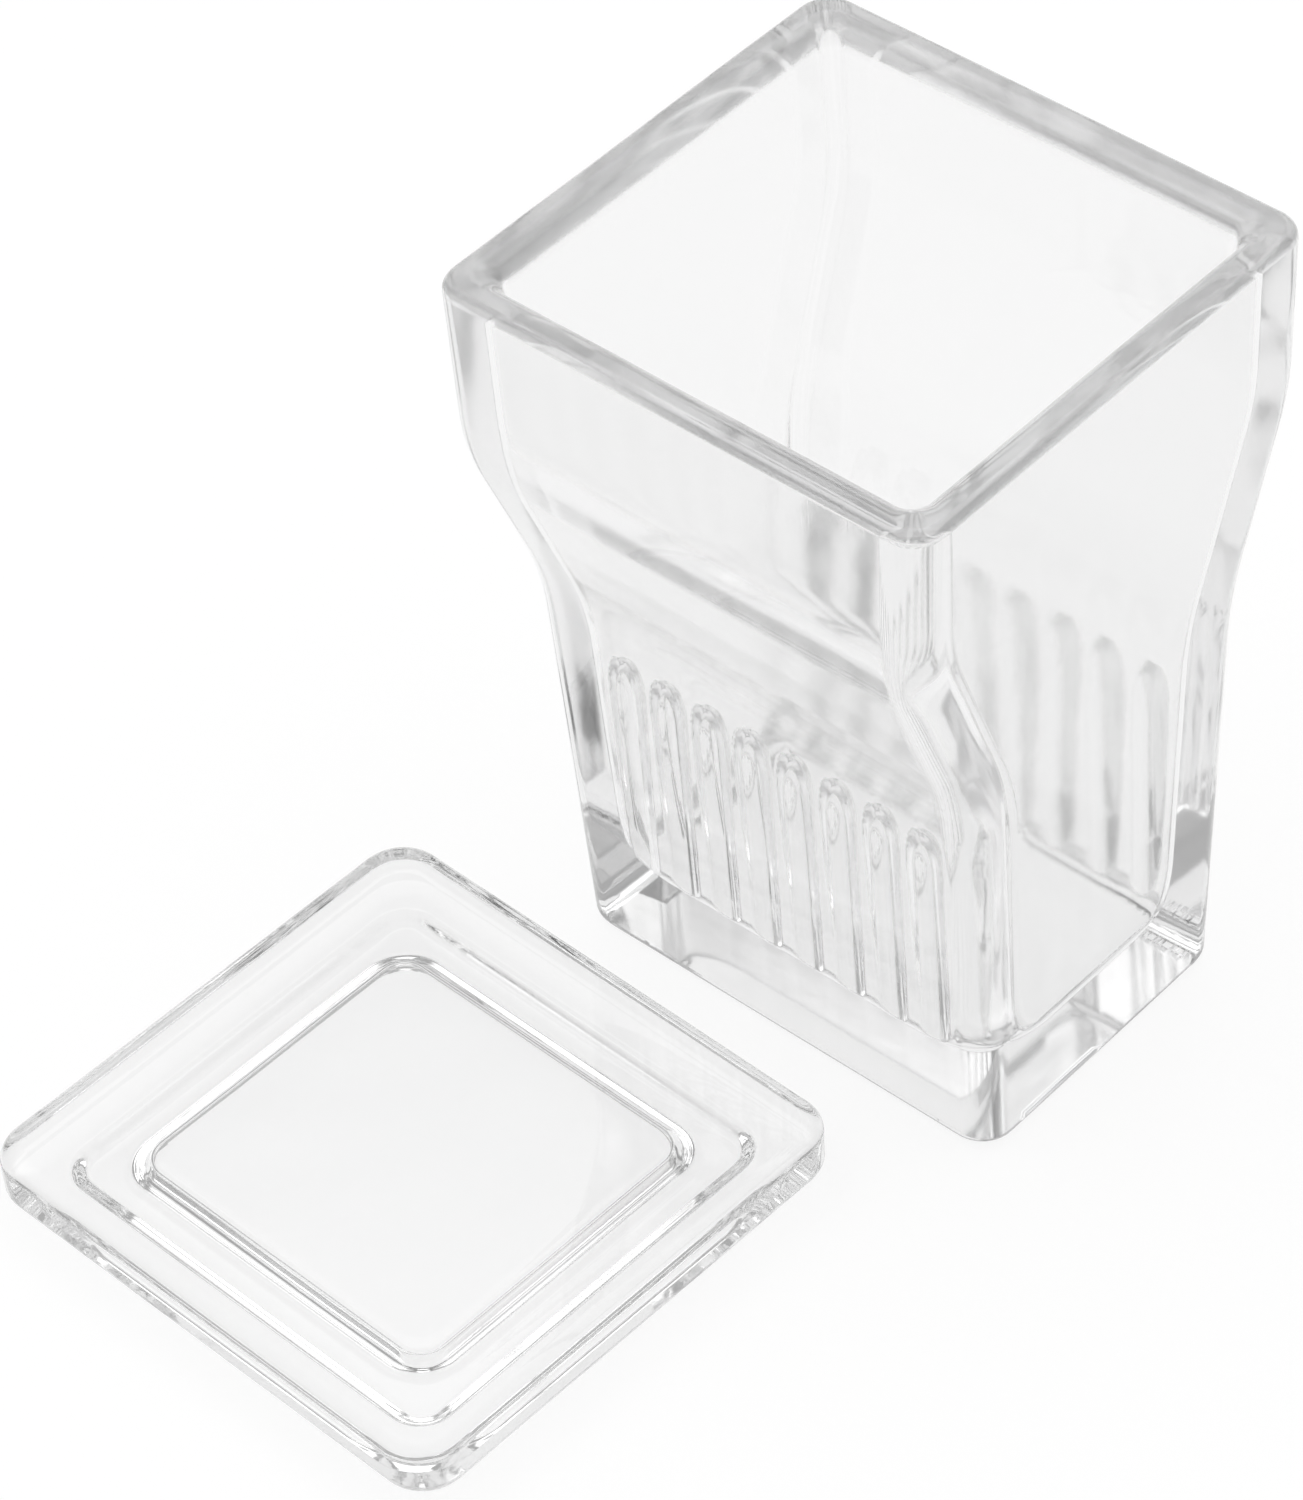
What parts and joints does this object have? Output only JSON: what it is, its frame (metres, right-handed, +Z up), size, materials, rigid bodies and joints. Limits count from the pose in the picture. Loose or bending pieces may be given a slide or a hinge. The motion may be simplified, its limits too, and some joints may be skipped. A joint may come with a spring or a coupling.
{
  "type": "slide staining jar",
  "caption": "Pressed glass jar with a flared mouth and a ribbed well for staining microscope slides upright, with its loose glass lid beside it.",
  "frame": {"origin": "middle of the jar's flat base, on the surface that the jar and its lid stand on", "axes": "+Z up, out of the jar's mouth; X along the two ribbed walls; the lid lies off to -Y"},
  "size_m": [0.0801, 0.1202, 0.095],
  "materials": {
    "jar_glass": "clear pressed soda-lime glass, fire-polished, slightly wavy",
    "lid_glass": "clear pressed soda-lime glass, slightly grained on the top face"
  },
  "bodies": {
    "root": {"jar": "jar_glass", "lid": "lid_glass"}
  },
  "joints": []
}
